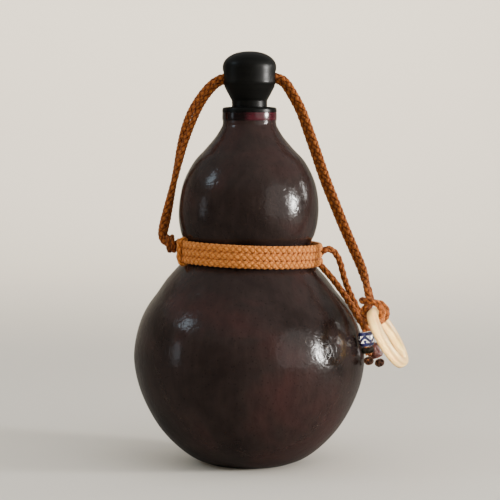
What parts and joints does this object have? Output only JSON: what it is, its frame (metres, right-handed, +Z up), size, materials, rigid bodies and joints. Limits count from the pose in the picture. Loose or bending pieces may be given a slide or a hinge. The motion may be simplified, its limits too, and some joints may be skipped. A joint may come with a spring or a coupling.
{
  "type": "bottle gourd flask with stopper and carrying cord",
  "caption": "Dried hourglass bottle gourd made into a flask, with turned collar and stopper, cord round the waist, doubled carrying cord, pale ring and beaded tails.",
  "frame": {"origin": "centre of the gourd's standing ring, on the surface that it stands on", "axes": "+Z up along the gourd's axis, -Y towards the front, +X towards the ring and tails"},
  "size_m": [0.1397, 0.12, 0.2129],
  "materials": {
    "gourd_skin": "waxed and polished, dark maroon brown",
    "black_wood": "turned, satin black",
    "maroon_wood": "turned, polished dark red",
    "cord": "braided cotton, orange brown",
    "pale_bone": "smooth, pale cream, slightly waxed",
    "porcelain": "white glaze with dark blue painting",
    "seed_brown": "polished seed, red brown"
  },
  "bodies": {
    "root": {"gourd": "gourd_skin", "collar_band": "maroon_wood", "mouth_collar": "black_wood", "stopper": "black_wood", "waist_band": "cord", "left_lashing": "cord", "band_tie": "cord", "carrying_cord": "cord", "ring": "pale_bone", "inner_tail": "cord", "outer_tail": "cord", "porcelain_bead": "porcelain", "black_bead": "black_wood", "seed_bead": "seed_brown", "inner_end_knot": "cord", "outer_end_knot": "cord"}
  },
  "joints": []
}
